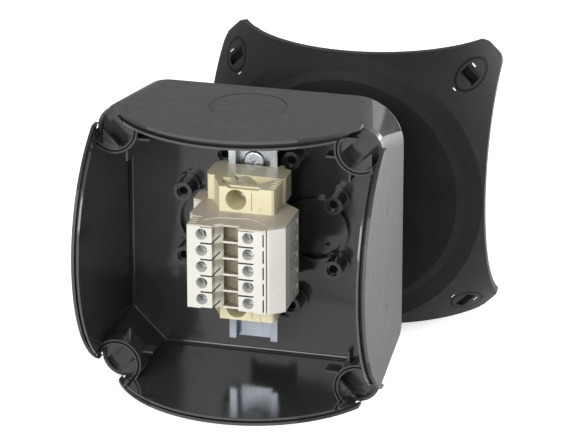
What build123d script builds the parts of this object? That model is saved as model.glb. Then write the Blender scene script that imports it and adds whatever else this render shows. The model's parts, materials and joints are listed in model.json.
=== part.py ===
"""Weatherproof cable junction box, opened, with a row of rail terminals.

Millimetres.  X points right, Y into the case, Z up.  Depths are counted from
the crown of the four arched rims; the finished pieces are then moved so that
the origin is the centre of the rear mounting face.  The case stands on its
lower wall.  The lid has been lifted off and stands upright behind the case.
"""
import math
import os

from build123d import *

# ---------------------------------------------------------------- case
CASE_HALF = 101.0            # outer half width of the walls at the front
CASE_DRAFT = 0.8             # how much narrower each side is at the back
CASE_DEPTH = 122.0           # crown of the rim to the mounting face
WALL = 2.6
FLOOR = 2.6
CORNER_R_FRONT = 16.0        # outer corner rounding, front and back
CORNER_R_BACK = 33.0
INNER_CHAMFER_FRONT = 15.0   # flat across each inside corner
INNER_CHAMFER_BACK = 24.0
ARCH_FALL = 50.7             # depth by which each arched front edge falls to the wells

# sealing rim along the arched edges
FLANGE_STEP = 2.3            # outward step of the rim band
FLANGE_DEPTH = 7.6
LIP = 2.2                    # outer lip beside the seal groove
GROOVE_W = 2.2
GROOVE_DEPTH = 4.2
TONGUE = 1.6                 # inner tongue, proud of the lip
TONGUE_RISE = 1.6
TONGUE_DEPTH = 6.0
SEAL_SECTION = 1.9           # seal height in its groove
SEAL_CLEAR = 0.12

# corner wells for the quarter-turn fasteners
WELL_INSET = 14.0            # each well's axis from the outer faces
WELL_R = 14.0
WELL_RIB = 1.2               # two ribs with a seal groove between them
WELL_GROOVE = 1.3
WELL_RISE = 3.7              # the ribs' edge stands this far before the arch's end
WELL_DEPTH = 15.0            # rib's edge to the well's floor
RAMP_CLEAR = 1.0             # between the fastener's lugs and the slot in the ramps
RAMP_DROP = 3.5              # rib's edge to the ramps
RAMP_T = 4.0
STUB_L = 7.0                 # short stiffening ribs beside each well
STUB_T = 1.5
STUB_OFFSET = 8.0
CORNER_LIP = 2.6             # low wall round the outside of each well
CORNER_LIP_H = 5.0

# ---------------------------------------------------------------- floor bosses
BOSS_FAR = 54.5              # boss pattern, mirrored and turned by a quarter
BOSS_NEAR = 24.2
BOSS_R = 6.8
BOSS_HOLE_R = 3.1
BOSS_SEAT_R = 4.3            # wider first part of the hole
BOSS_SEAT_DEPTH = 3.0
BOSS_H = 16.5
BOSS_BASE_R = 9.0
BOSS_BASE_H = 3.0
CUP_X = 38.5                 # raised ring cups beside the rail
CUP_R = 24.0
CUP_WALL = 2.6
CUP_H = 5.0
CUP_PIN_R = 1.3
CUP_PIN_H = 3.5
MARK_INSET = 16.0            # round mould marks, one per side, from the outer face
MARK_NEAR = 51.0
MARK_R = 6.2
MARK_LINE = 0.7
MARK_DEPTH = 0.35

# cable entry marks on the side walls
ENTRY_R = 27.0
ENTRY_DEPTH_AT = 80.5
ENTRY_LINE = 0.8
ENTRY_GROOVE = 0.6
ENTRY_RECESS = 0.25          # the thinned disc inside the ring is flat
SLIT_AT = 35.5
SLIT_DEPTH_AT = 75.0
SLIT_L = 5.0
SLIT_W = 1.0

# ---------------------------------------------------------------- rail
RAIL_W = 35.0
RAIL_INNER_W = 27.0
RAIL_H = 7.5
RAIL_T = 1.0
RAIL_LEN = 156.0
RAIL_BOSS_H = 20.0
RAIL_SCREW_HEAD_R = 8.0
RAIL_SCREW_HEAD_H = 4.2
RAIL_SCREW_CLEAR = 0.2       # in the boss; the rail's slot has the same more
RAIL_SCREW_LEN = 14.0
RAIL_SLOT_L = 15.0

# ---------------------------------------------------------------- terminals
TERMINAL_COUNT = 5
TERMINAL_PITCH = 11.9
STACK_CENTRE_Z = 3.5
TERM_H = 73.9                # terminals' front faces above the rail
TOWER_LEFT = (-26.0, -8.5)   # the two screw towers, in X
TOWER_RIGHT = (10.2, 29.6)
SCREW_LEFT_X = -15.8
SCREW_RIGHT_X = 17.0
SHAFT_R = 4.0                # screwdriver shaft in each tower
TROUGH_DEPTH = 13.0          # pocket between the towers
TROUGH_WALL_AT = 4.5         # front edge of the wall between two pockets
TROUGH = (-2.0, 9.2)         # the pocket, in X
LEDGE_FRONT = 3.5            # slanting ledge from the left tower to the pocket
LEDGE_BACK = 7.0
TROUGH_SLOPE = 4.0           # how much deeper its floor is on the left
SLIT_T = 0.6                 # slits between the towers of neighbours
SLIT_IN = 8.0
EDGE_SLOT = (27.4, 28.2)     # slot beside the right tower's outer edge, in X
SHOULDER = (-26.0, -19.0, 1.0, 15.0)   # corner left bare by the end plate
RIDGE_PITCH = 3.6
SHELL = 1.3                  # closed side wall of a housing
CAGE_W = 11.0
CAGE_L = 19.0
CAGE_T = 1.4
CAGE_CLEAR = 0.35
BAR_T = 2.6
BAR_SIDE_CLEAR = 0.45        # between the bar and the cage on each side
BAR_SINK = 25.0              # current bar's front face below the terminals' front
SCREW_HEAD_CLEAR = 0.4       # in its shaft
SCREW_HEAD_H = 3.2
SCREW_SHANK_R = 2.5
SCREW_SINK = 8.0
SCREW_TIP_GAP = 0.3
CAGE_TRAVEL = 4.0
END_PLATE_T = 2.0

# ---------------------------------------------------------------- end clamps
CLAMP_W = 18.0               # along the rail
CLAMP_H = 45.9               # above the rail
CLAMP_LEFT = -11.0
CLAMP_RIGHT = 26.0
CLAMP_HOLE_R = 7.4
CLAMP_HOLE_X = 0.8
CLAMP_HOLE_DEPTH = 26.0
CLAMP_GRIP = 0.3             # clearance round the rail's edges
CLAMP_FLOOR = 2.0            # floor under the pockets
CLAMP_FUNNEL_DEPTH = 25.0
CLAMP_FINS = 5
CLAMP_FIN_PITCH = 4.4
CLAMP_SCREW_HEAD_R = 5.0
CLAMP_SCREW_R = 2.0
CLAMP_SCREW_CLEAR = 0.15
CLAMP_SCREW_GAP = 1.2        # between its tip and the rail screw's head

# ---------------------------------------------------------------- lid
LID_OVERHANG = 2.9           # past the case's walls
LID_FRONT = -12.0            # depth of the lid's flat disc when fitted
LID_WALL = 2.6
LID_DISC_INSET = 16.0        # from the case's outer face to the disc's edge
LID_BEVEL = (6.0, 3.0)       # width and drop of the bevel round the disc
LID_SLOPE_OUT = 2.0          # end of the gentle slope, past the outer face
LID_SLOPE_AT = -7.0
LID_FLANK_AT = 13.0          # depth of the flank's middle
LID_FLANK_IN = 3.4           # flank's middle inside the fasteners' circle
LID_FLANK_OUT = 16.0         # flank's end outside that circle
LID_CORNER_R = 17.0
LID_CHAMFER = 22.0           # flat across each inside corner
LID_GAP = 0.6                # between the lid's edge and the rim when fitted
RIB_STEP = 4.0               # height of the step that carries the seal rib
RIB_CLEAR = 0.3
FASTENER_R = 9.0
FASTENER_CLEAR = 0.3
FASTENER_SLOT = (12.5, 7.0)  # length and width of the driver slot
FASTENER_SLOT_AT = 14.0      # depth of its middle
SOCKET_WALL = 2.4
LUG_T = 3.0
LUG_CLEAR = 0.8              # between the lugs and the well's floor
STEM_R = 6.0
LID_BACK = 4.5               # lid's corners, deeper than the wells' ribs when fitted
LID_STAND_X = 38.0           # lid's centre, to the right of the case's centre
LID_BEHIND = 83.0            # and behind the mounting face


# ---------------------------------------------------------------- worked out
CASE_HALF_BACK = CASE_HALF - CASE_DRAFT
FLOOR_AT = CASE_DEPTH - FLOOR
WELL_AT = CASE_HALF - WELL_INSET
WELL_TOP = ARCH_FALL - WELL_RISE
WELL_FLOOR = WELL_TOP + WELL_DEPTH
WELL_OUTER_R = WELL_R + 2 * WELL_RIB + WELL_GROOVE
ARCH_R = (WELL_AT ** 2 + ARCH_FALL ** 2) / (2 * ARCH_FALL)
OUTSIDE = CASE_HALF + 40.0   # past every piece, for cutting tools
FRONT_LIMIT = -TONGUE_RISE - 1.0
RIM_BACK = WELL_FLOOR + 18.0
RIM_OUT = CASE_HALF + FLANGE_STEP
GROOVE_OUT = RIM_OUT - LIP
GROOVE_IN = GROOVE_OUT - GROOVE_W
RIM_IN = GROOVE_IN - TONGUE
RAIL_BACK = FLOOR_AT - RAIL_BOSS_H
RAIL_FRONT = RAIL_BACK - RAIL_H
RAIL_SCREW_R = BOSS_HOLE_R - RAIL_SCREW_CLEAR
RAIL_SLOT_R = BOSS_HOLE_R + RAIL_SCREW_CLEAR
RAIL_SCREW_TOP = RAIL_BACK - RAIL_T - RAIL_SCREW_HEAD_H
TERM_FRONT = RAIL_FRONT - TERM_H
BAR_FRONT = TERM_FRONT + BAR_SINK
SCREW_HEAD_AT = TERM_FRONT + SCREW_SINK
SCREW_HEAD_R = SHAFT_R - SCREW_HEAD_CLEAR
BAR_W = TERMINAL_PITCH - SHELL - 2 * (CAGE_CLEAR + CAGE_T + BAR_SIDE_CLEAR)
STACK_LOW = STACK_CENTRE_Z - TERMINAL_COUNT * TERMINAL_PITCH / 2
STACK_HIGH = STACK_LOW + TERMINAL_COUNT * TERMINAL_PITCH
CLAMP_FRONT = RAIL_FRONT - CLAMP_H
LID_HALF = CASE_HALF + LID_OVERHANG
LID_CUT = WELL_TOP + 23.0    # far end of the tools that shape the lid


# ================================================================ helpers
def slab(x0, x1, y0, y1, z0, z1):
    """Block given by its lowest and highest corners."""
    size = (x1 - x0, y1 - y0, z1 - z0)
    middle = ((x0 + x1) / 2, (y0 + y1) / 2, (z0 + z1) / 2)
    return Pos(*middle) * Box(*size)


def bar_y(x, z, radius, y0, y1):
    """Round bar along Y."""
    middle = Pos(x, (y0 + y1) / 2, z)
    return middle * Rot(90, 0, 0) * Cylinder(radius, y1 - y0)


def bar_x(y, z, radius, x0, x1):
    """Round bar along X."""
    middle = Pos((x0 + x1) / 2, y, z)
    return middle * Rot(0, 90, 0) * Cylinder(radius, x1 - x0)


def bar_z(x, y, radius, z0, z1):
    """Round bar along Z."""
    return Pos(x, y, (z0 + z1) / 2) * Cylinder(radius, z1 - z0)


def ring_y(x, z, outer, inner, y0, y1):
    return bar_y(x, z, outer, y0, y1) - bar_y(x, z, inner, y0 - 1, y1 + 1)


def front_plane(y):
    """Sketch plane facing -Y, with its own x along X and y along Z."""
    return Plane(origin=(0, y, 0), x_dir=(1, 0, 0), z_dir=(0, -1, 0))


def prism_z(points, z0, z1):
    """Polygon in X and Y, drawn out along Z."""
    outline = Plane.XY.offset(z0) * make_face(Polyline(*points, close=True))
    return extrude(outline, amount=z1 - z0, dir=(0, 0, 1))


def rounded_square(half, radius, y):
    return front_plane(y) * RectangleRounded(2 * half, 2 * half, radius)


def chamfered_square(half, leg, y):
    corners = []
    for sx, sz in ((1, 1), (-1, 1), (-1, -1), (1, -1)):
        pair = [(sx * half, sz * (half - leg)), (sx * (half - leg), sz * half)]
        corners += pair if sx * sz > 0 else pair[::-1]
    return front_plane(y) * make_face(Polyline(*corners, close=True))


def corner_signs():
    return [(-1, 1), (1, 1), (1, -1), (-1, -1)]


def arch_envelope(shift):
    """Everything behind the arched front surface moved back by shift.

    Each wall's front edge is a circular arc, so the surface is that of two
    crossed cylinders with their far halves squared off.
    """
    middle, reach = ARCH_R + shift, OUTSIDE
    back = CASE_DEPTH + 40.0
    along_x = bar_x(middle, 0, ARCH_R, -reach, reach)
    along_z = bar_z(0, middle, ARCH_R, -reach, reach)
    behind = slab(-reach, reach, WELL_FLOOR - CORNER_LIP_H + shift, back, -reach, reach)
    return along_x + along_z + behind


def square_ring(outer, inner, y0, y1, radius=2.0):
    band = extrude(rounded_square(outer, radius, y1), amount=y1 - y0)
    hole = extrude(rounded_square(inner, radius, y1 + 1), amount=y1 - y0 + 2)
    return band - hole


# ================================================================ enclosure
def half_at(y):
    """Outer half width of the drafted walls at a depth."""
    return CASE_HALF + (CASE_HALF_BACK - CASE_HALF) * y / CASE_DEPTH


def case_walls():
    """Outer solid, with corners that grow rounder behind the wells, and cavity."""
    bend = WELL_FLOOR + WALL
    sections = [rounded_square(half_at(FRONT_LIMIT), CORNER_R_FRONT, FRONT_LIMIT),
                rounded_square(half_at(bend), CORNER_R_FRONT, bend),
                rounded_square(half_at(CASE_DEPTH), CORNER_R_BACK, CASE_DEPTH)]
    outer = loft(sections[:2], ruled=True) + loft(sections[1:], ruled=True)
    inner_front = CASE_HALF - WALL
    inner_back = CASE_HALF_BACK - WALL
    cavity = loft([chamfered_square(inner_front, INNER_CHAMFER_FRONT, FRONT_LIMIT - 1),
                   chamfered_square(inner_back, INNER_CHAMFER_BACK, FLOOR_AT)], ruled=True)
    return outer, cavity


def sealing_rim():
    """Flange band, groove and tongue along the four arched edges."""
    flange = square_ring(RIM_OUT, CASE_HALF - 1.0, FRONT_LIMIT, RIM_BACK)
    flange &= arch_envelope(0) - arch_envelope(FLANGE_DEPTH)
    tongue = square_ring(GROOVE_IN, RIM_IN, FRONT_LIMIT, RIM_BACK)
    tongue &= arch_envelope(-TONGUE_RISE) - arch_envelope(TONGUE_DEPTH)
    groove = square_ring(GROOVE_OUT, GROOVE_IN, FRONT_LIMIT - 1, RIM_BACK)
    groove -= arch_envelope(GROOVE_DEPTH)
    for sx, sz in corner_signs():
        corner = corner_block(sx, sz, WELL_AT, OUTSIDE, FRONT_LIMIT - 2, OUTSIDE)
        flange -= corner
        tongue -= corner
        groove -= corner
    return flange, tongue, groove


def well_axis(sx, sz):
    return sx * WELL_AT, sz * WELL_AT


def corner_block(sx, sz, low, high, y0, y1):
    """Square block in one corner, from low to high on both axes."""
    x0, x1 = sorted((sx * low, sx * high))
    z0, z1 = sorted((sz * low, sz * high))
    return slab(x0, x1, y0, y1, z0, z1)


def corner_well(sx, sz):
    """Material added for one fastener well, before it is hollowed."""
    x, z = well_axis(sx, sz)
    body = bar_y(x, z, WELL_OUTER_R, WELL_TOP, WELL_FLOOR + WALL)
    stub_x = x - sx * (WELL_OUTER_R + STUB_L)
    stub_z = z - sz * (WELL_OUTER_R + STUB_L)
    low_x, high_x = sorted((stub_x, x - sx * (WELL_R + 2.0)))
    low_z, high_z = sorted((stub_z, z - sz * (WELL_R + 2.0)))
    across = z - sz * STUB_OFFSET
    up = x - sx * STUB_OFFSET
    depth = (WELL_TOP + 6.0, WELL_FLOOR + WALL)
    body += slab(low_x, high_x, *depth, across - STUB_T / 2, across + STUB_T / 2)
    body += slab(up - STUB_T / 2, up + STUB_T / 2, *depth, low_z, high_z)
    return body


def well_hollow(sx, sz):
    """Space of one well, open towards the outside corner."""
    x, z = well_axis(sx, sz)
    lip_top = WELL_FLOOR - CORNER_LIP_H
    inside = extrude(rounded_square(CASE_HALF - CORNER_LIP, CORNER_R_FRONT - CORNER_LIP, WELL_FLOOR),
                     amount=WELL_FLOOR + 20)
    hollow = bar_y(x, z, WELL_R, -20, lip_top)
    hollow += bar_y(x, z, WELL_R, -20, WELL_FLOOR) & inside
    hollow += corner_block(sx, sz, WELL_AT, OUTSIDE, -20, lip_top)
    hollow += corner_block(sx, sz, WELL_AT, OUTSIDE, -20, WELL_FLOOR) & inside
    groove = ring_y(x, z, WELL_R + WELL_RIB + WELL_GROOVE, WELL_R + WELL_RIB,
                    WELL_TOP - 18.0, WELL_TOP + GROOVE_DEPTH)
    groove &= corner_block(sx, sz, 0.0, GROOVE_OUT, 0, 90)
    return hollow, groove


def bayonet_ramps(sx, sz):
    """Two ledges beside the diagonal slot, under which the lugs turn."""
    x, z = well_axis(sx, sz)
    top = WELL_TOP + RAMP_DROP
    disc = bar_y(x, z, WELL_R + 0.5, top, top + RAMP_T)
    slot = Box(4 * WELL_R, 3 * RAMP_T, 2 * (STEM_R + RAMP_CLEAR))
    turn = -45.0 * sx * sz
    ledges = disc - Pos(x, top + RAMP_T / 2, z) * Rot(0, turn, 0) * slot
    return ledges & corner_block(sx, sz, 0.0, WELL_AT + 8.0, 0, 90)


def boss_places():
    places = []
    for a in (-BOSS_NEAR, BOSS_NEAR):
        for b in (-BOSS_FAR, BOSS_FAR):
            places += [(a, b), (b, a)]
    return places


def floor_boss(x, z, height):
    top = FLOOR_AT - height
    boss = bar_y(x, z, BOSS_R, top, FLOOR_AT + 0.5)
    boss += bar_y(x, z, BOSS_BASE_R, FLOOR_AT - BOSS_BASE_H, FLOOR_AT + 0.5)
    hole = bar_y(x, z, BOSS_HOLE_R, top - 1, FLOOR_AT - 1.0)
    hole += bar_y(x, z, BOSS_SEAT_R, top - 1, top + BOSS_SEAT_DEPTH)
    return boss, hole


def ring_cup(sx):
    top = FLOOR_AT - CUP_H
    cup = ring_y(sx * CUP_X, 0, CUP_R, CUP_R - CUP_WALL, top, FLOOR_AT + 0.5)
    for px, pz in ((-8.0, 12.0), (8.0, 12.0), (8.0, -12.0)):
        cup += bar_y(sx * CUP_X + px, pz, CUP_PIN_R, FLOOR_AT - CUP_PIN_H, FLOOR_AT + 0.5)
    return cup


def shallow_marks():
    """Round mould marks on the floor, and marks for cable entries."""
    marks = []
    far = CASE_HALF - MARK_INSET
    for x, z in ((MARK_NEAR, far), (far, -MARK_NEAR), (-MARK_NEAR, -far), (-far, MARK_NEAR)):
        marks.append(ring_y(x, z, MARK_R, MARK_R - MARK_LINE, FLOOR_AT - 1, FLOOR_AT + MARK_DEPTH))
    face = half_at(ENTRY_DEPTH_AT)
    for side in (-1, 1):
        z0, z1 = sorted((side * (face - ENTRY_GROOVE), side * (face + 5)))
        marks.append(bar_z(0, ENTRY_DEPTH_AT, ENTRY_R, z0, z1)
                     - bar_z(0, ENTRY_DEPTH_AT, ENTRY_R - ENTRY_LINE, z0 - 1, z1 + 1))
        z0, z1 = sorted((side * (face - ENTRY_RECESS), side * (face + 5)))
        marks.append(bar_z(0, ENTRY_DEPTH_AT, ENTRY_R - ENTRY_LINE / 2, z0, z1))
        for z in (-SLIT_AT, SLIT_AT):
            x0, x1 = sorted((side * (face - ENTRY_GROOVE), side * (face + 5)))
            marks.append(slab(x0, x1, SLIT_DEPTH_AT - SLIT_W / 2, SLIT_DEPTH_AT + SLIT_W / 2,
                              z - SLIT_L / 2, z + SLIT_L / 2))
    return marks


def make_enclosure():
    outer, cavity = case_walls()
    flange, tongue, groove = sealing_rim()
    body = (outer & arch_envelope(0)) + flange - cavity
    body += tongue
    for sx, sz in corner_signs():
        body += corner_well(sx, sz) & outer
    body -= groove
    for sx, sz in corner_signs():
        hollow, seal_groove = well_hollow(sx, sz)
        body -= hollow + seal_groove
        body += bayonet_ramps(sx, sz) & outer
    holes = []
    for x, z in boss_places():
        boss, hole = floor_boss(x, z, BOSS_H)
        body += boss
        holes.append(hole)
    for side in (-1, 1):
        boss, hole = floor_boss(0, side * BOSS_FAR, RAIL_BOSS_H)
        body += boss
        holes.append(hole)
        body += ring_cup(side)
    body -= holes + shallow_marks()
    return body


def make_seal():
    """One-piece seal lying in the rim groove and round the four wells."""
    outer, inner = GROOVE_OUT - SEAL_CLEAR, GROOVE_IN + SEAL_CLEAR
    band = square_ring(outer, inner, FRONT_LIMIT, RIM_BACK)
    crown = arch_envelope(GROOVE_DEPTH - SEAL_SECTION)
    seal = (band & crown) - arch_envelope(GROOVE_DEPTH)
    foot = WELL_TOP + GROOVE_DEPTH
    ring_out = WELL_R + WELL_RIB + WELL_GROOVE - SEAL_CLEAR
    ring_in = WELL_R + WELL_RIB + SEAL_CLEAR
    for sx, sz in corner_signs():
        x, z = well_axis(sx, sz)
        seal -= bar_y(x, z, ring_in, -5, 90)
        seal -= corner_block(sx, sz, WELL_AT - 4.0, OUTSIDE, -5, 90)
        zone = corner_block(sx, sz, 0.0, outer, 0, 90)
        seal += ring_y(x, z, ring_out, ring_in, foot - SEAL_SECTION, foot) & zone
        seal += ring_y(x, z, ring_out, ring_in, 0, foot) & band & crown
        seal -= corner_block(sx, sz, WELL_AT, OUTSIDE, -5, 90)
    return seal


# ================================================================ rail
def make_rail():
    half, inner, t = RAIL_W / 2, RAIL_INNER_W / 2, RAIL_T
    f, b = RAIL_FRONT, RAIL_BACK
    section = [(-half, f), (-inner + t, f), (-inner + t, b - t),
               (inner - t, b - t), (inner - t, f), (half, f), (half, f + t),
               (inner, f + t), (inner, b), (-inner, b), (-inner, f + t), (-half, f + t)]
    rail = prism_z(section, -RAIL_LEN / 2, RAIL_LEN / 2)
    for side in (-1, 1):
        middle, reach = side * BOSS_FAR, RAIL_SLOT_L / 2 - RAIL_SLOT_R
        rail -= slab(-RAIL_SLOT_R, RAIL_SLOT_R, b - 2 * t, b + 1, middle - reach, middle + reach)
        for end in (-reach, reach):
            rail -= bar_y(0, middle + end, RAIL_SLOT_R, b - 2 * t, b + 1)
    return rail


def rail_screw(side):
    z = side * BOSS_FAR
    seat = RAIL_BACK - RAIL_T
    head = bar_y(0, z, RAIL_SCREW_HEAD_R, RAIL_SCREW_TOP, seat)
    head = fillet(head.edges().group_by(Axis.Y)[0], 2.0)
    reach = RAIL_SCREW_LEN
    screw = head + bar_y(0, z, RAIL_SCREW_R, seat - 0.5, seat + reach)
    for turn in (0, 90):
        cross = Box(8.0, 2 * 2.2, 1.5)
        screw -= Pos(0, RAIL_SCREW_TOP, z) * Rot(0, 45 + turn, 0) * cross
    return screw


# ================================================================ terminals
def housing_outline():
    """Side outline of a terminal housing, from the left tower clockwise."""
    tl0, tl1 = TOWER_LEFT
    tr0, tr1 = TOWER_RIGHT
    f = TERM_FRONT
    foot = RAIL_FRONT
    half = RAIL_W / 2
    return [(tl0, f), (tl1, f), (tl1 + 1.2, f + LEDGE_FRONT), (TROUGH[0], f + LEDGE_BACK),
            (TROUGH[0], f + TROUGH_WALL_AT), (tr0, f + TROUGH_WALL_AT), (tr0, f), (tr1, f),
            (tr1, f + 5.0), (tr1 + 1.6, f + 5.0), (tr1 + 11.4, f + 12.5), (tr1 + 11.4, f + 44.0),
            (tr1 + 4.0, f + 50.0), (half + 6.0, foot - 14.0), (half + 5.0, foot),
            (half + 5.0, foot + 4.2), (half + 1.6, foot + 4.2), (half + 0.3, foot + RAIL_T + 0.3),
            (half + 0.3, foot), (-half - 0.3, foot), (-half - 0.3, foot + RAIL_T + 0.3),
            (-half - 1.6, foot + 4.2), (-half - 5.0, foot + 4.2), (-half - 5.0, foot - 6.0),
            (tl0 - 9.0, foot - 12.0), (tl0 - 9.0, foot - 27.0), (tl0 - 2.5, foot - 29.0),
            (tl0 - 2.5, f + 32.0), (tl0 - 3.6, f + 20.0), (tl0, f + 17.0)]


def trough_pocket(z0, z1):
    """Pocket between the towers, with a floor that slopes to the left."""
    left, right = TROUGH
    floor = TERM_FRONT + TROUGH_DEPTH
    outline = [(left, TERM_FRONT - 1), (right, TERM_FRONT - 1), (right, floor - TROUGH_SLOPE),
               (right - 3.0, floor - TROUGH_SLOPE), (left + 1.5, floor), (left, floor)]
    return prism_z(outline, z0, z1)


def tower_slits(z):
    """Narrow slits in the tower fronts along the joint with the next piece."""
    slits = []
    for x0, x1 in ((SCREW_LEFT_X - 0.5, TOWER_LEFT[1] + 1), (TOWER_RIGHT[0] - 1, SCREW_RIGHT_X + 4.0)):
        slits.append(slab(x0, x1, TERM_FRONT - 1, TERM_FRONT + SLIT_IN, z, z + SLIT_T))
    return slits


def shoulder_ridges(z):
    """Small label ridges on the top face, where the end plate leaves it bare."""
    x0, x1, y0, y1 = SHOULDER
    ridges = []
    for step in range(3):
        y = TERM_FRONT + y0 + (step + 0.6) * RIDGE_PITCH
        ridges.append(slab(x0 + 1.0, x1 - 1.0, y, y + 0.5, z - 0.01, z + 0.5))
    return ridges


def cage_top():
    """Depth of a cage's front face when the clamp is open."""
    return BAR_FRONT - 5.5


def clamp_axis(index):
    """Height of the clamp screws of one terminal, centred in its cavity."""
    return STACK_LOW + index * TERMINAL_PITCH + (SHELL + TERMINAL_PITCH) / 2


def make_housing(index):
    z0 = STACK_LOW + index * TERMINAL_PITCH
    z1 = z0 + TERMINAL_PITCH
    middle = clamp_axis(index)
    body = prism_z(housing_outline(), z0, z1)
    top = cage_top()
    for x, side in ((SCREW_LEFT_X, -1), (SCREW_RIGHT_X, 1)):
        body -= bar_y(x, middle, SHAFT_R, TERM_FRONT - 1, top)
        half = CAGE_W / 2 + CAGE_CLEAR
        body -= slab(x - half, x + half, top - CAGE_TRAVEL - CAGE_CLEAR, top + CAGE_L + CAGE_CLEAR,
                     z0 + SHELL, z1 + 1)
        far = x + side * 40.0
        entry_y = BAR_FRONT + BAR_T + (CAGE_L - 5.5 - BAR_T - CAGE_T) / 2
        body -= bar_x(entry_y, middle, 4.3, *sorted((x, far)))
    body -= slab(SCREW_LEFT_X - CAGE_W / 2, SCREW_RIGHT_X + CAGE_W / 2,
                 BAR_FRONT, BAR_FRONT + BAR_T, z0 + SHELL + 0.4, z1 + 1)
    body -= trough_pocket(z0 + SHELL, z1 + 1)
    body -= tower_slits(z0)
    body -= slab(*EDGE_SLOT, TERM_FRONT - 1, TERM_FRONT + 4.0, z0 + SHELL, z1 - SHELL)
    body -= side_grooves(z0, z1)
    return body


def side_grooves(z0, z1):
    """Shallow steps along the right flank, one set for each terminal."""
    x, f = TOWER_RIGHT[1] + 11.4, TERM_FRONT
    middle = (z0 + z1) / 2
    tools = [slab(x - 0.8, x + 1, f + 16.0, f + 17.2, z0 - 1, z1 + 1)]
    tools.append(slab(x - 0.8, x + 1, f + 36.0, f + 41.0, middle - 1.2, middle + 3.2))
    return tools


def make_cage(index, x):
    z0 = STACK_LOW + index * TERMINAL_PITCH
    low, high = z0 + SHELL + CAGE_CLEAR, z0 + TERMINAL_PITCH - CAGE_CLEAR
    middle = clamp_axis(index)
    top = cage_top()
    half = CAGE_W / 2
    cage = slab(x - half, x + half, top, top + CAGE_L, low, high)
    cage -= slab(x - half - 1, x + half + 1, top + 2.4, top + CAGE_L - CAGE_T,
                 low + CAGE_T, high - CAGE_T)
    cage -= bar_y(x, middle, SCREW_SHANK_R + 0.05, top - 1, top + 4)
    return cage


def make_screw(index, x, turn):
    middle = clamp_axis(index)
    head_end = SCREW_HEAD_AT + SCREW_HEAD_H
    screw = bar_y(x, middle, SCREW_HEAD_R, SCREW_HEAD_AT, head_end)
    screw += bar_y(x, middle, SCREW_SHANK_R, head_end - 0.5, BAR_FRONT - SCREW_TIP_GAP)
    slot = Box(2.2 * SCREW_HEAD_R, 2 * 1.5, 1.1)
    return screw - Pos(x, SCREW_HEAD_AT, middle) * Rot(0, turn, 0) * slot


def make_bar(index):
    low = clamp_axis(index) - BAR_W / 2
    return slab(SCREW_LEFT_X - 5.0, SCREW_RIGHT_X + 5.0, BAR_FRONT, BAR_FRONT + BAR_T,
                low, low + BAR_W)


def make_end_plate():
    plate = prism_z(housing_outline(), STACK_HIGH, STACK_HIGH + END_PLATE_T)
    f = TERM_FRONT
    top = STACK_HIGH + END_PLATE_T
    relief = [(-19.0, f - 1.0), (-17.0, f + 9.0), (-8.0, f + 16.0), (14.0, f + 18.5),
              (22.0, f + 14.5), (27.0, f + 8.5), (29.0, f - 1.0)]
    plate -= prism_z(relief, top - 0.7, top + 1)
    x0, x1, y0, y1 = SHOULDER
    plate -= slab(x0 - 5.0, x1, f + y0 - 5.0, f + y1, top - 0.8, top + 1)
    plate += shoulder_ridges(top - 0.8)
    return plate


def make_marker_strip():
    x, f = TOWER_RIGHT[1], TERM_FRONT
    section = [(x + 0.9, f + 0.2), (x + 2.4, f), (x + 12.0, f + 7.4), (x + 12.0, f + 9.8),
               (x + 11.4, f + 12.2), (x + 1.6, f + 4.7), (x + 0.9, f + 4.7)]
    return prism_z(section, STACK_LOW + 0.3, STACK_HIGH + END_PLATE_T)


# ================================================================ end clamps
def clamp_outline():
    """Outline of an end clamp seen along the rail, clockwise from the left."""
    f, foot, half = CLAMP_FRONT, RAIL_FRONT, RAIL_W / 2
    gap = RAIL_T + CLAMP_GRIP
    hook = half + CLAMP_GRIP
    right_foot = [(half + 11.0, foot - 3.0), (half + 5.0, foot), (half + 5.0, foot + 4.0),
                  (half + 1.6, foot + 4.0), (hook, foot + gap), (hook, foot)]
    left_foot = [(-hook, foot), (-hook, foot + gap), (-half - 1.6, foot + 4.0),
                 (-half - 5.0, foot + 4.0), (-half - 9.5, foot - 1.0)]
    left_wing = [(-half - 9.5, foot - 20.0), (-half - 7.5, foot - 25.0), (-half - 2.0, foot - 26.0),
                 (-half - 2.0, foot - 29.0), (CLAMP_LEFT - 5.0, f + 11.5)]
    front = [(CLAMP_LEFT, f), (CLAMP_RIGHT, f), (CLAMP_RIGHT + 1.5, f + 1.5)]
    right = [(CLAMP_RIGHT + 1.5, f + 24.0), (CLAMP_RIGHT + 3.0, f + 26.0),
             (CLAMP_RIGHT + 3.0, foot - 10.0)]
    return front + right + right_foot + left_foot + left_wing


def clamp_funnel(z0, z1):
    """Main pocket, wide at the back, between two slanting walls."""
    f = CLAMP_FRONT
    back = f + CLAMP_FUNNEL_DEPTH
    outline = [(-0.5, f + 9.5), (14.5, f + 9.5), (CLAMP_RIGHT - 3.0, back - 2.0),
               (CLAMP_RIGHT - 3.0, back), (-7.0, back), (-7.0, back - 2.0)]
    return prism_z(outline, z0 + CLAMP_FLOOR, z1 + 1)


def clamp_window(z0, z1):
    """Small pocket beside the left bevel."""
    f = CLAMP_FRONT
    outline = [(CLAMP_LEFT + 1.0, f + 6.0), (-3.5, f + 6.0), (-3.5, f + 9.5), (-8.5, f + 18.0),
               (CLAMP_LEFT - 2.5, f + 18.0), (CLAMP_LEFT - 2.5, f + 11.0)]
    return prism_z(outline, z0 + CLAMP_FLOOR, z1 + 1)


def clamp_fins(z0, z1):
    """Slots that leave a row of fins on the right flank."""
    slots = []
    for step in range(CLAMP_FINS):
        y = CLAMP_FRONT + 4.0 + step * CLAMP_FIN_PITCH
        slots.append(slab(CLAMP_RIGHT - 3.5, CLAMP_RIGHT + 5.0, y, y + CLAMP_FIN_PITCH / 2,
                          z0 - 1, z1 + 1))
    return slots


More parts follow.
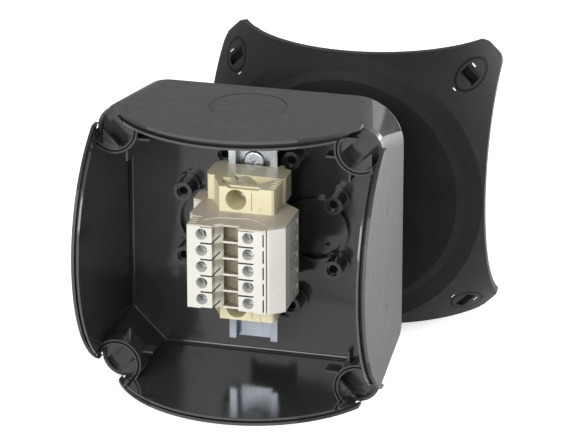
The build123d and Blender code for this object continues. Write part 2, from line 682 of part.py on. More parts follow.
def make_end_clamp(z0):
    """Moulded stop that grips the rail, with its screw in a round well."""
    z1 = z0 + CLAMP_W
    f = CLAMP_FRONT
    middle = (z0 + z1) / 2
    body = prism_z(clamp_outline(), z0, z1)
    body -= clamp_funnel(z0, z1)
    body -= clamp_window(z0, z1)
    body += bar_y(CLAMP_HOLE_X, middle, CLAMP_HOLE_R + 1.2, f + 1.0, f + CLAMP_HOLE_DEPTH)
    body -= clamp_fins(z0, z1)
    body -= bar_y(CLAMP_HOLE_X, middle, CLAMP_HOLE_R, f - 1, f + CLAMP_HOLE_DEPTH)
    body -= bar_y(CLAMP_HOLE_X, middle, CLAMP_SCREW_R + CLAMP_SCREW_CLEAR, f, RAIL_FRONT + 1)
    slit_x = CLAMP_HOLE_X + 11.3
    body -= slab(slit_x - 0.5, slit_x + 0.5, f - 1, f + 1.2, z0 + 2.0, z1 - 3.0)
    body -= slab(CLAMP_LEFT + 6.0, slit_x + 5.0, f - 1, f + 4.0, z1 - 1.0, z1 + 1)
    body -= bar_y(CLAMP_RIGHT - 6.0, z0 + 2.6, 2.4, f - 1, f + 0.8)
    return body


def make_clamp_screw(z0):
    z = z0 + CLAMP_W / 2
    seat = CLAMP_FRONT + CLAMP_HOLE_DEPTH
    head = seat - 4.0
    screw = bar_y(CLAMP_HOLE_X, z, CLAMP_SCREW_HEAD_R, head, seat)
    screw += bar_y(CLAMP_HOLE_X, z, CLAMP_SCREW_R, head, RAIL_SCREW_TOP - CLAMP_SCREW_GAP)
    return screw - Pos(CLAMP_HOLE_X, head, z) * Rot(0, 30, 0) * Box(11.0, 3.0, 1.4)


# ================================================================ lid
def lid_crown(offset):
    """Half section of the lid's crown moved inwards by offset, as radius and depth.

    A flat disc, a short bevel, a gentle slope, and a flank that bends down
    over the fasteners to the corners.
    """
    disc_r = CASE_HALF - LID_DISC_INSET
    width, drop = LID_BEVEL
    circle = WELL_AT * math.sqrt(2)
    slope_end = (CASE_HALF + LID_SLOPE_OUT - offset * 0.4, LID_SLOPE_AT + offset)
    flank_mid = (circle - LID_FLANK_IN - offset, LID_FLANK_AT)
    flank_end = (circle + LID_FLANK_OUT - offset * 1.1, WELL_TOP + LID_BACK + 0.5)
    front = LID_FRONT + offset
    straight = Polyline((0, front), (disc_r, front), (disc_r + width, front + drop), slope_end)
    flank = ThreePointArc(slope_end, flank_mid, flank_end)
    closing = Polyline(flank_end, (flank_end[0], LID_CUT), (0, LID_CUT), (0, front))
    return make_face([straight, flank, closing])


def turned(section):
    """Turn a radius and depth section about the Y axis."""
    return revolve(section, axis=Axis.Y)


def lid_socket(sx, sz, radius, y0, y1):
    x, z = well_axis(sx, sz)
    return bar_y(x, z, radius, y0, y1)


def press_rib():
    """Step inside the lid's edge, with a rib that presses on the seal."""
    width = LID_HALF - LID_WALL + 0.5
    step = square_ring(width, GROOVE_IN + RIB_CLEAR, -20.0, RIM_BACK)
    step &= arch_envelope(-RIB_STEP) - arch_envelope(-LID_GAP)
    rib = square_ring(GROOVE_OUT - RIB_CLEAR, GROOVE_IN + RIB_CLEAR, -20.0, RIM_BACK)
    reach = GROOVE_DEPTH - SEAL_SECTION - SEAL_CLEAR
    rib &= arch_envelope(-RIB_STEP) - arch_envelope(reach)
    return step + rib


def make_lid_shell():
    outer = extrude(rounded_square(LID_HALF, LID_CORNER_R, LID_CUT), amount=LID_CUT + 40.0)
    outer &= turned(lid_crown(0.0))
    cavity = chamfered_square(LID_HALF - LID_WALL, LID_CHAMFER, LID_CUT)
    inner = extrude(cavity, amount=LID_CUT + 40.0) & turned(lid_crown(LID_WALL))
    shell = outer - inner
    rib = press_rib() & outer
    for sx, sz in corner_signs():
        socket = lid_socket(sx, sz, FASTENER_R + SOCKET_WALL, 0.0, WELL_TOP - LID_GAP)
        shell += socket & outer
        rib -= corner_block(sx, sz, WELL_AT - WELL_OUTER_R, OUTSIDE, -20, 90)
    shell -= arch_envelope(-LID_GAP)
    body = shell + rib
    for sx, sz in corner_signs():
        bore = lid_socket(sx, sz, FASTENER_R + FASTENER_CLEAR, -20.0, WELL_TOP + 30.0)
        body -= bore
    return body - slab(-OUTSIDE, OUTSIDE, WELL_TOP + LID_BACK, 2 * LID_CUT, -OUTSIDE, OUTSIDE)


def make_fastener(sx, sz):
    """Quarter-turn fastener: sloped head, stem and two bayonet lugs."""
    x, z = well_axis(sx, sz)
    crown = turned(lid_crown(0.0))
    head = bar_y(x, z, FASTENER_R, 0.0, WELL_TOP - 1.0) & crown
    tip = WELL_FLOOR - LUG_CLEAR
    stem = bar_y(x, z, STEM_R, WELL_TOP - 1.5, tip)
    lug = Box(2 * FASTENER_R, LUG_T, 2 * STEM_R)
    lug &= Rot(90, 0, 0) * Cylinder(FASTENER_R, LUG_T)
    turn = -45.0 * sx * sz
    fastener = head + stem + Pos(x, tip - LUG_T / 2, z) * Rot(0, turn + 90, 0) * lug
    length, width = FASTENER_SLOT
    spin = 45.0 * sx * sz
    slot = Box(length, FASTENER_SLOT_AT, width)
    return fastener - Pos(x, FASTENER_SLOT_AT, z) * Rot(0, spin, 0) * slot


def standing(shape):
    """Put a lid piece where the lid stands, level with the case's foot."""
    return Pos(LID_STAND_X, CASE_DEPTH + LID_BEHIND, LID_HALF - RIM_OUT) * shape


# ================================================================ output
def build_nodes():
    nodes = {"enclosure_base": make_enclosure(), "case_seal": make_seal()}
    nodes["din_rail"] = make_rail()
    nodes["rail_screw_upper"] = rail_screw(1)
    nodes["rail_screw_lower"] = rail_screw(-1)
    turns = (35, 70, 15, 55, 80, 25, 60, 40, 10, 75)
    for index in range(TERMINAL_COUNT):
        name = str(index + 1)
        nodes["terminal_housing_" + name] = make_housing(index)
        nodes["current_bar_" + name] = make_bar(index)
        for side, x, turn in (("left", SCREW_LEFT_X, turns[index]),
                              ("right", SCREW_RIGHT_X, turns[index + 5])):
            nodes["clamp_cage_" + side + "_" + name] = make_cage(index, x)
            nodes["clamp_screw_" + side + "_" + name] = make_screw(index, x, turn)
    nodes["terminal_end_plate"] = make_end_plate()
    nodes["marker_strip"] = make_marker_strip()
    upper = STACK_HIGH + END_PLATE_T
    lower = STACK_LOW - CLAMP_W
    nodes["end_clamp_upper"] = make_end_clamp(upper)
    nodes["end_clamp_lower"] = make_end_clamp(lower)
    nodes["end_clamp_screw_upper"] = make_clamp_screw(upper)
    nodes["end_clamp_screw_lower"] = make_clamp_screw(lower)
    nodes["lid"] = standing(make_lid_shell())
    for number, (sx, sz) in enumerate(corner_signs(), start=1):
        nodes["lid_fastener_" + str(number)] = standing(make_fastener(sx, sz))
    return nodes


def main():
    os.makedirs("parts", exist_ok=True)
    to_mounting_face = Pos(0, -CASE_DEPTH, 0)
    for name, shape in build_nodes().items():
        export_step(to_mounting_face * shape, "parts/" + name + ".step")


main()
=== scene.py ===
"""Look of the opened junction box: materials, small pieces, light and camera.

Metres, in the row frame: X right, Y out of the back of the case, Z up.  The
case is open towards -Y and stands on its lower wall.  The small pieces are the
rounding at the back of the case and the white marks on the lid's fasteners.
"""
import json
import math

import bmesh
import bpy
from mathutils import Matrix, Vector


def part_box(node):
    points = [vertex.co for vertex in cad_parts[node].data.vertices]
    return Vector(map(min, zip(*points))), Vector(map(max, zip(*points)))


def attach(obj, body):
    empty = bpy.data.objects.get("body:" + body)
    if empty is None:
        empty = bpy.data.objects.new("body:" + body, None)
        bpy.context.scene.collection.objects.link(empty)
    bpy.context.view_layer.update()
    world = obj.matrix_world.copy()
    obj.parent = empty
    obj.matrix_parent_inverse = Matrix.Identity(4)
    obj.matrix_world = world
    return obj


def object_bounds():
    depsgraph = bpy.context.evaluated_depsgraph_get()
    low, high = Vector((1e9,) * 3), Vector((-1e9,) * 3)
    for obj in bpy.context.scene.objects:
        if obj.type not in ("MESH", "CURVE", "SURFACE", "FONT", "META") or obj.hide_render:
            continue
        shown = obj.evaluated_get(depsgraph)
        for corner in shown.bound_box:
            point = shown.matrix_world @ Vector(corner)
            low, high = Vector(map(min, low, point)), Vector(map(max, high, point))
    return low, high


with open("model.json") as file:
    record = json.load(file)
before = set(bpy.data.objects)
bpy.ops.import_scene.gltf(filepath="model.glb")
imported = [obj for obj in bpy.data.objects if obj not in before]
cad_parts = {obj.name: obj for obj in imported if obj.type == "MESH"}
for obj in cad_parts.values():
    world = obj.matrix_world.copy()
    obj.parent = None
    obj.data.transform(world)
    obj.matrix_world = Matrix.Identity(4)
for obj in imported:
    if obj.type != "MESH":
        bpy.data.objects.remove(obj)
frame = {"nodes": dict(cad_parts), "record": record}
cad_box = [list(corner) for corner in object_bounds()]
nodes = frame["nodes"]

# ------------------------------------------------------------ driving values
FLOOR_Z = cad_box[0][2]
FLOOR_HALF = 6.0             # half width of the floor

# noise cells to the metre
COLOUR_CELLS = 35.0
GLOSS_CELLS = 120.0
GRAIN_CELLS = 3000.0
LID_GRAIN_CELLS = 2600.0
LINE_CELLS = 900.0                 # drawing lines in metal

# the case's material
INNER_HALF = 0.0986          # half width that counts as the inside of the case
INNER_FROM = -0.0010         # the inside lies in front of this
# the rim's two ridges carry a painted highlight
TONGUE_AT = (0.0972, 0.0989)       # the rim's inner ridge, from the middle
LIP_AT = (0.1012, 0.1040)          # the rim's outer ridge
RIM_FROM = -0.080                  # the rim lies in front of this
RIM_FACING = -0.85                 # ridge faces look forward at least so far

# rounding where the case's walls meet its back
COVE_R = 0.0023
COVE_TURNS = 720                   # points round the back's outline
COVE_STEPS = 8                     # faces across the rounding
COVE_SINK = 0.0002                 # how far its hidden edge lies in the case
COVE_SEARCH = 0.090                # the walls are looked for outside this radius
BARE_BACK = (0.085, -0.05, 0.0)    # in front of a plain spot of the back

# terminals
STACK_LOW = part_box("terminal_housing_1")[0][2]
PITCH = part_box("terminal_housing_2")[0][2] - STACK_LOW
TERMINAL_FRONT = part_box("terminal_housing_1")[0][1]
POCKET_X = (-0.0021, 0.0093)       # pocket between the screw towers, painted with shade
POCKET_Y = (TERMINAL_FRONT + 0.0052, TERMINAL_FRONT + 0.014)
LEDGE_X = (-0.0084, -0.0021)       # stepped ledge beside the pocket, painted with shade on each step
LEDGE_FROM = TERMINAL_FRONT + 0.0004
# the painted shade lines in the seams, on the slopes and in the dashes lie at these depths
LINE_Y = (TERMINAL_FRONT - 0.001, TERMINAL_FRONT + 0.009)
SEAM_W = 0.0011
SLOPE_W = SEAM_W * 1.4
LEFT_SEAM_X = (-0.0166, -0.0085)
LEDGE_SEAM_X = (-0.0085, -0.0040)
RIGHT_SEAM_X = (0.0102, 0.0208)
EDGE_SLOT_X = (0.0273, 0.0283)     # painted shade in dashes over the slot beside the marker strip
EDGE_SLOT_RISE = (0.0018, 0.0106)  # where a dash starts and ends in a pitch

# clamping screws and steel
SCREW_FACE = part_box("clamp_screw_left_1")[0][1]
# depth band in which the screws get painted shade
SLOT_SHADE = (SCREW_FACE + 0.0003, SCREW_FACE + 0.0050)
STEEL_RISE = 7.0                   # how fast the steel is painted lighter upwards, per metre

# lid and fasteners
LID_LOW, LID_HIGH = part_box("lid")
LID_CENTRE = ((LID_LOW[0] + LID_HIGH[0]) / 2, (LID_LOW[2] + LID_HIGH[2]) / 2)
FASTENER_LOW, FASTENER_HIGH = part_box("lid_fastener_2")
FASTENER_AT = (FASTENER_LOW[0] + FASTENER_HIGH[0]) / 2 - LID_CENTRE[0]
FASTENER_R = (FASTENER_HIGH[0] - FASTENER_LOW[0]) / 2
SLOT_SIZE = (0.0126, 0.0071)       # length and width of a fastener's slot
GAP_SHADE = 0.0009                 # half width of the painted shade ring round a fastener
LID_GLOSS = 0.13                   # specular level of the lid's matt black

# white marks; their places are outwards and sideways from a fastener's middle
MARK_THICK = 0.00012
MARK_WIDTH = 0.0007
MARK_ROWS = 9                      # points along a mark
MARK_COLUMNS = 4                   # points across it
MARK_VIEW = -1.0                   # the surface is looked for from here along Y
LOCK_MARK_LENGTH = 0.0034
LOCK_MARK_AT = (0.0042, 0.0030)
OPEN_MARK_LENGTH = 0.00272
OPEN_MARK_AT = (-0.0108, 0.0012)

CAMERA_AZIMUTH = 15.1        # degrees
CAMERA_ELEVATION = 20.9
CAMERA_LENS = 220.0          # millimetres, on a 36 mm sensor
CAMERA_SENSOR = 36.0
CAMERA_DISTANCE = 2.42
CAMERA_TARGET = (0.0346, -0.062, 0.0299)
CAMERA_REACH = 20.0

WORLD_LIGHT = 0.45           # strength of the even light from all round
FLOOR_LIFT = 0.60            # makes the lit floor white without more light
LIGHT_TARGET = (0.03, -0.05, 0.0)
# name, size in metres, watts, azimuth, elevation and distance
LIGHTS = (
    ("key", (1.4, 1.0), 34.0, -12.0, 22.0, 2.2),
    ("side_fill", (1.2, 1.2), 9.0, 70.0, 25.0, 2.2),
    ("rear_edge", (0.9, 0.6), 27.0, 135.0, 10.0, 1.3),
)


# ------------------------------------------------------------ material helpers
class Shader:
    """A node material built in few lines."""

    def __init__(self, name):
        self.material = bpy.data.materials.new(name)
        self.material.use_nodes = True
        self.tree = self.material.node_tree
        self.bsdf = self.tree.nodes["Principled BSDF"]
        self.coords = self.add("ShaderNodeTexCoord").outputs["Object"]

    def add(self, kind, **settings):
        node = self.tree.nodes.new(kind)
        for key, value in settings.items():
            setattr(node, key, value)
        return node

    def link(self, source, target):
        self.tree.links.new(source, target)

    def put(self, socket, value):
        if hasattr(value, "links"):
            self.link(value, socket)
        else:
            socket.default_value = value

    def math(self, operation, a, b=0.0, c=0.0, clamp=False):
        node = self.add("ShaderNodeMath", operation=operation, use_clamp=clamp)
        for socket, value in zip(node.inputs, (a, b, c)):
            self.put(socket, value)
        return node.outputs[0]

    def noise(self, scale, detail=3.0, roughness=0.5, stretch=None):
        coords = self.coords
        if stretch:
            mapping = self.add("ShaderNodeMapping")
            mapping.inputs["Scale"].default_value = stretch
            self.link(coords, mapping.inputs["Vector"])
            coords = mapping.outputs[0]
        node = self.add("ShaderNodeTexNoise")
        self.link(coords, node.inputs["Vector"])
        node.inputs["Scale"].default_value = scale
        node.inputs["Detail"].default_value = detail
        node.inputs["Roughness"].default_value = roughness
        return node.outputs["Fac"]

    def spread(self, value, low, high):
        """Maps a noise's usual range, 0.3 to 0.7, to low..high."""
        node = self.add("ShaderNodeMapRange")
        self.put(node.inputs["Value"], value)
        node.inputs["From Min"].default_value = 0.3
        node.inputs["From Max"].default_value = 0.7
        node.inputs["To Min"].default_value = low
        node.inputs["To Max"].default_value = high
        return node.outputs["Result"]

    def blend(self, factor, low, high):
        node = self.add("ShaderNodeMix", data_type="RGBA")
        self.put(node.inputs["Factor"], factor)
        self.put(node.inputs[6], low if hasattr(low, "links") else (*low, 1.0))
        self.put(node.inputs[7], high if hasattr(high, "links") else (*high, 1.0))
        return node.outputs[2]

    def bump(self, height, strength, distance):
        node = self.add("ShaderNodeBump")
        node.inputs["Strength"].default_value = strength
        node.inputs["Distance"].default_value = distance
        self.link(height, node.inputs["Height"])
        self.link(node.outputs[0], self.bsdf.inputs["Normal"])

    def within(self, value, low, high):
        """1 where low < value < high."""
        above = self.math("GREATER_THAN", value, low)
        return self.math("MULTIPLY", above, self.math("LESS_THAN", value, high))

    def both(self, *masks):
        """1 where every mask is 1."""
        total = masks[0]
        for mask in masks[1:]:
            total = self.math("MULTIPLY", total, mask)
        return total

    def separate(self, vector=None):
        node = self.add("ShaderNodeSeparateXYZ")
        self.link(vector or self.coords, node.inputs[0])
        return node.outputs


def mottle(s, dark, light):
    """Slight colour changes of a moulded plastic."""
    return s.blend(s.spread(s.noise(COLOUR_CELLS, 4.0), 0.0, 1.0), dark, light)


def coated(s, colour, roughness, grain):
    """Give a plastic its colour, gloss changes and a fine grain."""
    s.link(colour, s.bsdf.inputs["Base Color"])
    s.link(s.spread(s.noise(GLOSS_CELLS), *roughness), s.bsdf.inputs["Roughness"])
    s.bump(s.noise(grain, 2.0), 0.25, 0.00004)
    return s


def plastic(name, dark, light, roughness):
    """Moulded plastic in one colour."""
    s = Shader(name)
    return coated(s, mottle(s, dark, light), roughness, GRAIN_CELLS)


def metal(name, dark, light, roughness, stretch):
    """Plated metal with fine drawing lines, painted lighter towards the top, painted shade in
    screw slots.
    """
    s = Shader(name)
    s.bsdf.inputs["Metallic"].default_value = 1.0
    lines = s.noise(LINE_CELLS, 2.0, 0.6, stretch)
    cloud = s.noise(60.0, 3.0)
    _, y, z = s.separate()
    # painted light: the steel is made lighter towards the top, with random tone from a cloud
    # noise
    height = s.math("MULTIPLY_ADD", z, STEEL_RISE, 0.5, clamp=True)
    painted_lift_and_tone = s.math("MULTIPLY_ADD", height, 0.7, s.spread(cloud, 0.0, 0.3))
    colour = s.blend(painted_lift_and_tone, dark, light)
    # painted shade: a dark band at this depth behind the screw face, in the slots and round the
    # heads
    sunk = s.within(y, *SLOT_SHADE)
    s.link(s.blend(sunk, colour, (0.05, 0.05, 0.05)), s.bsdf.inputs["Base Color"])
    s.link(s.spread(lines, *roughness), s.bsdf.inputs["Roughness"])
    s.bump(lines, 0.15, 0.00003)
    return s


def case_material():
    """Black case: polished inside painted a lighter black, finely textured outside, painted
    highlight on the rim ridges.
    """
    s = Shader("case_black")
    x, y, z = s.separate()
    wide = s.math("MAXIMUM", s.math("ABSOLUTE", x), s.math("ABSOLUTE", z))
    inside = s.both(s.math("LESS_THAN", wide, INNER_HALF), s.math("LESS_THAN", y, INNER_FROM))
    facing = s.separate(s.add("ShaderNodeNewGeometry").outputs["True Normal"])[1]
    # painted highlight: forward-facing faces of the rim's two ridges are painted a lighter grey
    ridge = s.both(
        s.math("MAXIMUM", s.within(wide, *TONGUE_AT), s.within(wide, *LIP_AT)),
        s.math("LESS_THAN", facing, RIM_FACING),
        s.math("LESS_THAN", y, RIM_FROM),
    )
    cloud = s.spread(s.noise(30.0, 4.0), 0.0, 1.0)
    outer = s.blend(cloud, (0.010, 0.010, 0.011), (0.014, 0.014, 0.015))
    # painted light: the inside gets a lighter black than the outside, standing in for more light
    # inside the case
    inner = s.blend(cloud, (0.034, 0.034, 0.034), (0.040, 0.040, 0.040))
    colour = s.blend(inside, outer, inner)
    s.link(s.blend(ridge, colour, (0.065, 0.065, 0.066)), s.bsdf.inputs["Base Color"])
    roughness = s.add("ShaderNodeMix", data_type="FLOAT")
    s.link(inside, roughness.inputs[0])
    s.link(s.spread(s.noise(150.0), 0.56, 0.64), roughness.inputs[2])
    s.link(s.spread(s.noise(40.0), 0.10, 0.15), roughness.inputs[3])
    s.link(roughness.outputs[0], s.bsdf.inputs["Roughness"])
    grain = s.math("MULTIPLY", s.noise(2600.0, 2.0), s.math("SUBTRACT", 1.0, inside))
    s.bump(grain, 0.35, 0.00005)
    return s


def lid_material(name):
    """Matt black of the lid and its fasteners, with painted shade in the slots and in the gap
    round the heads.
    """
    s = Shader(name)
    s.bsdf.inputs["Specular IOR Level"].default_value = LID_GLOSS
    x, _, z = s.separate()
    right = s.math("ABSOLUTE", s.math("SUBTRACT", x, LID_CENTRE[0]))
    right = s.math("SUBTRACT", right, FASTENER_AT)
    up = s.math("ABSOLUTE", s.math("SUBTRACT", z, LID_CENTRE[1]))
    up = s.math("SUBTRACT", up, FASTENER_AT)
    outward = s.math("ABSOLUTE", s.math("ADD", right, up))
    sideways = s.math("ABSOLUTE", s.math("SUBTRACT", right, up))
    length, width = SLOT_SIZE
    # painted shade in each fastener's slot
    slot = s.both(
        s.math("LESS_THAN", outward, width / math.sqrt(2)),
        s.math("LESS_THAN", sideways, length / math.sqrt(2)),
    )
    reach = s.math("ADD", s.math("MULTIPLY", right, right), s.math("MULTIPLY", up, up))
    reach = s.math("SQRT", reach)
    # painted shade in the gap round each fastener's head, wider than the real gap
    ring = s.within(reach, FASTENER_R - GAP_SHADE, FASTENER_R + GAP_SHADE)
    dark = s.math("MAXIMUM", slot, ring)
    colour = mottle(s, (0.013, 0.013, 0.013), (0.018, 0.018, 0.018))
    colour = s.blend(dark, colour, (0.0015, 0.0015, 0.0015))
    return coated(s, colour, (0.52, 0.60), LID_GRAIN_CELLS)


def housing_material():
    """Cream terminal with painted shade in the pockets, on the ledges and in the seams between
    neighbours.
    """
    s = Shader("terminal_beige")
    x, y, z = s.separate()
    colour = mottle(s, (0.66, 0.65, 0.59), (0.70, 0.69, 0.63))
    # painted shade deep in the pocket between the screw towers, with random tone
    pocket_shade = s.spread(s.noise(400.0, 3.0), 0.0, 1.0)
    pocket_shade = s.blend(pocket_shade, (0.20, 0.17, 0.125), (0.27, 0.235, 0.175))
    pocket = s.both(s.within(x, *POCKET_X), s.within(y, *POCKET_Y))
    colour = s.blend(pocket, colour, pocket_shade)
    place = s.math("ADD", s.math("SUBTRACT", z, STACK_LOW), SEAM_W / 2)
    place = s.math("MODULO", place, PITCH)
    # painted shade on the stepped ledge, stronger higher up in each pitch
    ledge = s.both(
        s.within(x, *LEDGE_X),
        s.math("GREATER_THAN", y, LEDGE_FROM),
        s.spread(s.math("DIVIDE", place, PITCH), 0.35, 0.95),
    )
    colour = s.blend(ledge, colour, (0.24, 0.205, 0.15))
    # painted shade in the slits between neighbouring housings, along the slopes of the ledges and
    # in the slot beside the marker strip
    front = s.within(y, *LINE_Y)
    columns = s.math("ADD", s.within(x, *LEFT_SEAM_X), s.within(x, *RIGHT_SEAM_X), clamp=True)
    seams = s.both(s.math("LESS_THAN", place, SEAM_W), front, columns)
    climb = s.math("SUBTRACT", place, s.math("SUBTRACT", x, LEFT_SEAM_X[1]))
    slopes = s.both(s.within(climb, 0.0, SLOPE_W), s.within(x, *LEDGE_SEAM_X), front)
    dashes = s.both(s.within(x, *EDGE_SLOT_X), s.within(place, *EDGE_SLOT_RISE), front)
    lines = s.math("MAXIMUM", seams, s.math("MAXIMUM", slopes, dashes))
    colour = s.blend(lines, colour, (0.035, 0.032, 0.026))
    return coated(s, colour, (0.36, 0.44), GRAIN_CELLS)


# ------------------------------------------------------------ materials
MATERIALS = {
    "case_black": case_material(),
    "lid_black": lid_material("lid_black"),
    "fastener_black": lid_material("fastener_black"),
    "seal_black": plastic("seal_black", (0.010, 0.010, 0.010), (0.014, 0.014, 0.014), (0.6, 0.7)),
    "terminal_beige": housing_material(),
    "plate_taupe": plastic("plate_taupe", (0.54, 0.49, 0.41), (0.58, 0.53, 0.45), (0.40, 0.50)),
    "strip_white": plastic("strip_white", (0.63, 0.61, 0.57), (0.67, 0.65, 0.61), (0.25, 0.32)),
    "clamp_beige": plastic("clamp_beige", (0.76, 0.70, 0.46), (0.80, 0.74, 0.50), (0.36, 0.46)),
    "zinc_steel": metal(
        "zinc_steel", (0.30, 0.33, 0.38), (0.72, 0.75, 0.79), (0.22, 0.34), (1.0, 1.0, 0.05)
    ),
    "tin_copper": metal(
        "tin_copper", (0.58, 0.56, 0.52), (0.70, 0.68, 0.64), (0.28, 0.38), (0.05, 1.0, 1.0)
    ),
}
MARK_PAINT = plastic("mark_paint", (0.72, 0.72, 0.70), (0.80, 0.80, 0.78), (0.45, 0.60))

slot_of = {entry["node"]: entry["material_slot"] for entry in frame["record"]["subparts"]}
for name, node in nodes.items():
    shader = MATERIALS[slot_of[name]]
    node.data.materials.clear()
    node.data.materials.append(shader.material)


# ------------------------------------------------------------ rounding at the back
def cove_ring():
    """Sections of the rounding, one for each direction from the middle."""
    case = nodes["enclosure_base"]
    rearwards = Vector((0.0, 1.0, 0.0))
    back = case.ray_cast(Vector(BARE_BACK), rearwards)[1]
    points = []
    for turn in range(COVE_TURNS):
        angle = 2 * math.pi * turn / COVE_TURNS
        ray = Vector((math.cos(angle), 0.0, math.sin(angle)))
        start = Vector((0.0, back.y - COVE_R, 0.0)) + ray * COVE_SEARCH
        wall, normal = case.ray_cast(start, ray)[1:3]
        away = Vector((normal.x, 0.0, normal.z)).normalized()
        corner = Vector((wall.x, back.y, wall.z))
        centre = corner + (away - rearwards) * COVE_R
        points.append(corner + (rearwards - away) * COVE_SINK)
        for step in range(COVE_STEPS + 1):
            lean = math.pi / 2 * step / COVE_STEPS
            points.append(centre + (rearwards * math.cos(lean) - away * math.sin(lean)) * COVE_R)
    return points


def make_cove():
    """A polished rounding all along the corner of the back and the walls."""
    row = COVE_STEPS + 2
    faces = []
    for turn in range(COVE_TURNS):
        here = turn * row
        there = (turn + 1) % COVE_TURNS * row
        for step in range(row):
            after = (step + 1) % row
            faces.append((here + step, here + after, there + after, there + step))
    mesh = bpy.data.meshes.new("back_cove")
    mesh.from_pydata(cove_ring(), [], faces)
    mesh.update()
    shape = bmesh.new()
    shape.from_mesh(mesh)
    bmesh.ops.recalc_face_normals(shape, faces=shape.faces)
    shape.to_mesh(mesh)
    shape.free()
    for face in mesh.polygons:
        face.use_smooth = True
    cove = bpy.data.objects.new("back_cove", mesh)
    bpy.context.scene.collection.objects.link(cove)
    mesh.materials.append(MATERIALS["case_black"].material)
    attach(cove, "case_and_lid")


# ------------------------------------------------------------ marks on the lid
def surface_point(name, x, z):
    """Where a line straight from the front meets a node, and the face's normal."""
    return nodes[name].ray_cast(Vector((x, MARK_VIEW, z)), Vector((0.0, 1.0, 0.0)))[1:3]


def stroke(name, body, node, middle, along, length):
    """Short painted stroke that follows the surface under it."""
    across = Vector((-along.y, along.x))
    rows = MARK_ROWS
    columns = MARK_COLUMNS
    top = []
    base = []
    for i in range(rows):
        for j in range(columns):
            u = (i / (rows - 1) - 0.5) * length
            v = (j / (columns - 1) - 0.5) * MARK_WIDTH
            spot = middle + along * u + across * v
            point, normal = surface_point(node, spot.x, spot.y)
            top.append(point + normal * MARK_THICK)
            base.append(point - normal * MARK_THICK)
    faces = []
    for i in range(rows - 1):
        for j in range(columns - 1):
            a = i * columns + j
            quad = (a, a + 1, a + 1 + columns, a + columns)
            faces += [quad, tuple(index + len(top) for index in reversed(quad))]
    rim = list(range(columns)) + [(i + 1) * columns - 1 for i in range(1, rows)]
    rim += [(rows - 1) * columns + j for j in reversed(range(columns - 1))]
    rim += [i * columns for i in reversed(range(1, rows - 1))]
    for a, b in zip(rim, rim[1:] + rim[:1]):
        faces.append((b, a, a + len(top), b + len(top)))
    mesh = bpy.data.meshes.new(name)
    mesh.from_pydata(top + base, [], faces)
    piece = bpy.data.objects.new(name, mesh)
    bpy.context.scene.collection.objects.link(piece)
    mesh.materials.append(MARK_PAINT.material)
    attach(piece, body)


def make_lock_marks():
    """One stroke beside each fastener's slot, and one on the lid next to it."""
    centre = Vector(LID_CENTRE)
    for number in range(1, 5):
        low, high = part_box("lid_fastener_%d" % number)
        middle = Vector(((low[0] + high[0]) / 2, (low[2] + high[2]) / 2))
        outward = (middle - centre).normalized()
        along = Vector((-outward.y, outward.x))
        lock_at = middle + outward * LOCK_MARK_AT[0] + along * LOCK_MARK_AT[1]
        open_at = middle + outward * OPEN_MARK_AT[0] + along * OPEN_MARK_AT[1]
        stroke("lock_mark_%d" % number, "fastener_body_%d" % number,
               "lid_fastener_%d" % number, lock_at, along, LOCK_MARK_LENGTH)
        stroke("open_mark_%d" % number, "case_and_lid",
               "lid", open_at, along, OPEN_MARK_LENGTH)


make_cove()
make_lock_marks()


# ------------------------------------------------------------ floor and light
def seen_directly(tree):
    """1 for rays that show the surroundings to the eye, a mirror or glass."""
    path = tree.nodes.new("ShaderNodeLightPath")
    total = path.outputs["Is Camera Ray"]
    for ray in ("Is Glossy Ray", "Is Transmission Ray"):
        larger = tree.nodes.new("ShaderNodeMath")
        larger.operation = "MAXIMUM"
        tree.links.new(total, larger.inputs[0])
        tree.links.new(path.outputs[ray], larger.inputs[1])
        total = larger.outputs[0]
    return total


def floor_material():
    """Pale matt floor that looks white and keeps the object's shadow."""
    material = bpy.data.materials.new("floor_white")
    material.use_nodes = True
    tree = material.node_tree
    bsdf = tree.nodes["Principled BSDF"]
    bsdf.inputs["Base Color"].default_value = (0.80, 0.80, 0.80, 1.0)
    bsdf.inputs["Roughness"].default_value = 0.9
    bsdf.inputs["Specular IOR Level"].default_value = 0.0
    bsdf.inputs["Emission Color"].default_value = (1.0, 1.0, 1.0, 1.0)
    lift = tree.nodes.new("ShaderNodeMath")
    lift.operation = "MULTIPLY"
    tree.links.new(seen_directly(tree), lift.inputs[0])
    lift.inputs[1].default_value = FLOOR_LIFT
    tree.links.new(lift.outputs[0], bsdf.inputs["Emission Strength"])
    return material


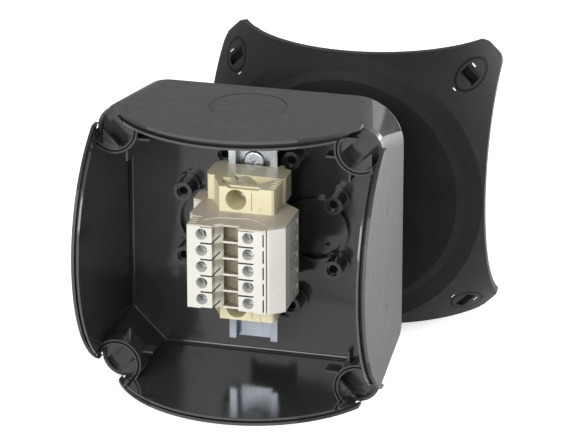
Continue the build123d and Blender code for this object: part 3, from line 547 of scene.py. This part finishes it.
def make_floor():
    mesh = bpy.data.meshes.new("floor")
    far = FLOOR_HALF
    corners = [(-far, -far, 0.0), (far, -far, 0.0), (far, far, 0.0), (-far, far, 0.0)]
    mesh.from_pydata(corners, [], [(0, 1, 2, 3)])
    floor = bpy.data.objects.new("floor", mesh)
    floor.location.z = FLOOR_Z
    bpy.context.scene.collection.objects.link(floor)
    mesh.materials.append(floor_material())


def placed(thing, azimuth, elevation, distance, target):
    """Put a light or camera so far from its target, looking at it."""
    a = math.radians(azimuth)
    e = math.radians(elevation)
    offset = Vector((math.sin(a) * math.cos(e), -math.cos(a) * math.cos(e), math.sin(e)))
    thing.location = Vector(target) + offset * distance
    thing.rotation_euler = (-offset).to_track_quat("-Z", "Y").to_euler()
    bpy.context.scene.collection.objects.link(thing)


def area_light(name, size, power, azimuth, elevation, distance):
    data = bpy.data.lights.new(name, "AREA")
    data.shape = "RECTANGLE"
    data.size, data.size_y = size
    data.energy = power
    lamp = bpy.data.objects.new(name, data)
    placed(lamp, azimuth, elevation, distance, LIGHT_TARGET)


def make_world():
    world = bpy.data.worlds.new("studio")
    world.use_nodes = True
    bpy.context.scene.world = world
    tree = world.node_tree
    tree.nodes.clear()
    out = tree.nodes.new("ShaderNodeOutputWorld")
    dim = tree.nodes.new("ShaderNodeBackground")
    dim.inputs["Strength"].default_value = WORLD_LIGHT
    white = tree.nodes.new("ShaderNodeBackground")
    for background in (dim, white):
        background.inputs["Color"].default_value = (1.0, 1.0, 1.0, 1.0)
    mix = tree.nodes.new("ShaderNodeMixShader")
    tree.links.new(seen_directly(tree), mix.inputs[0])
    tree.links.new(dim.outputs[0], mix.inputs[1])
    tree.links.new(white.outputs[0], mix.inputs[2])
    tree.links.new(mix.outputs[0], out.inputs[0])


def make_camera():
    data = bpy.data.cameras.new("camera")
    data.lens = CAMERA_LENS
    data.sensor_width = CAMERA_SENSOR
    data.clip_end = CAMERA_REACH
    camera = bpy.data.objects.new("camera", data)
    placed(camera, CAMERA_AZIMUTH, CAMERA_ELEVATION, CAMERA_DISTANCE, CAMERA_TARGET)
    bpy.context.scene.camera = camera


make_floor()
make_world()
for light in LIGHTS:
    area_light(*light)
make_camera()
bpy.context.scene.view_settings.view_transform = "Standard"
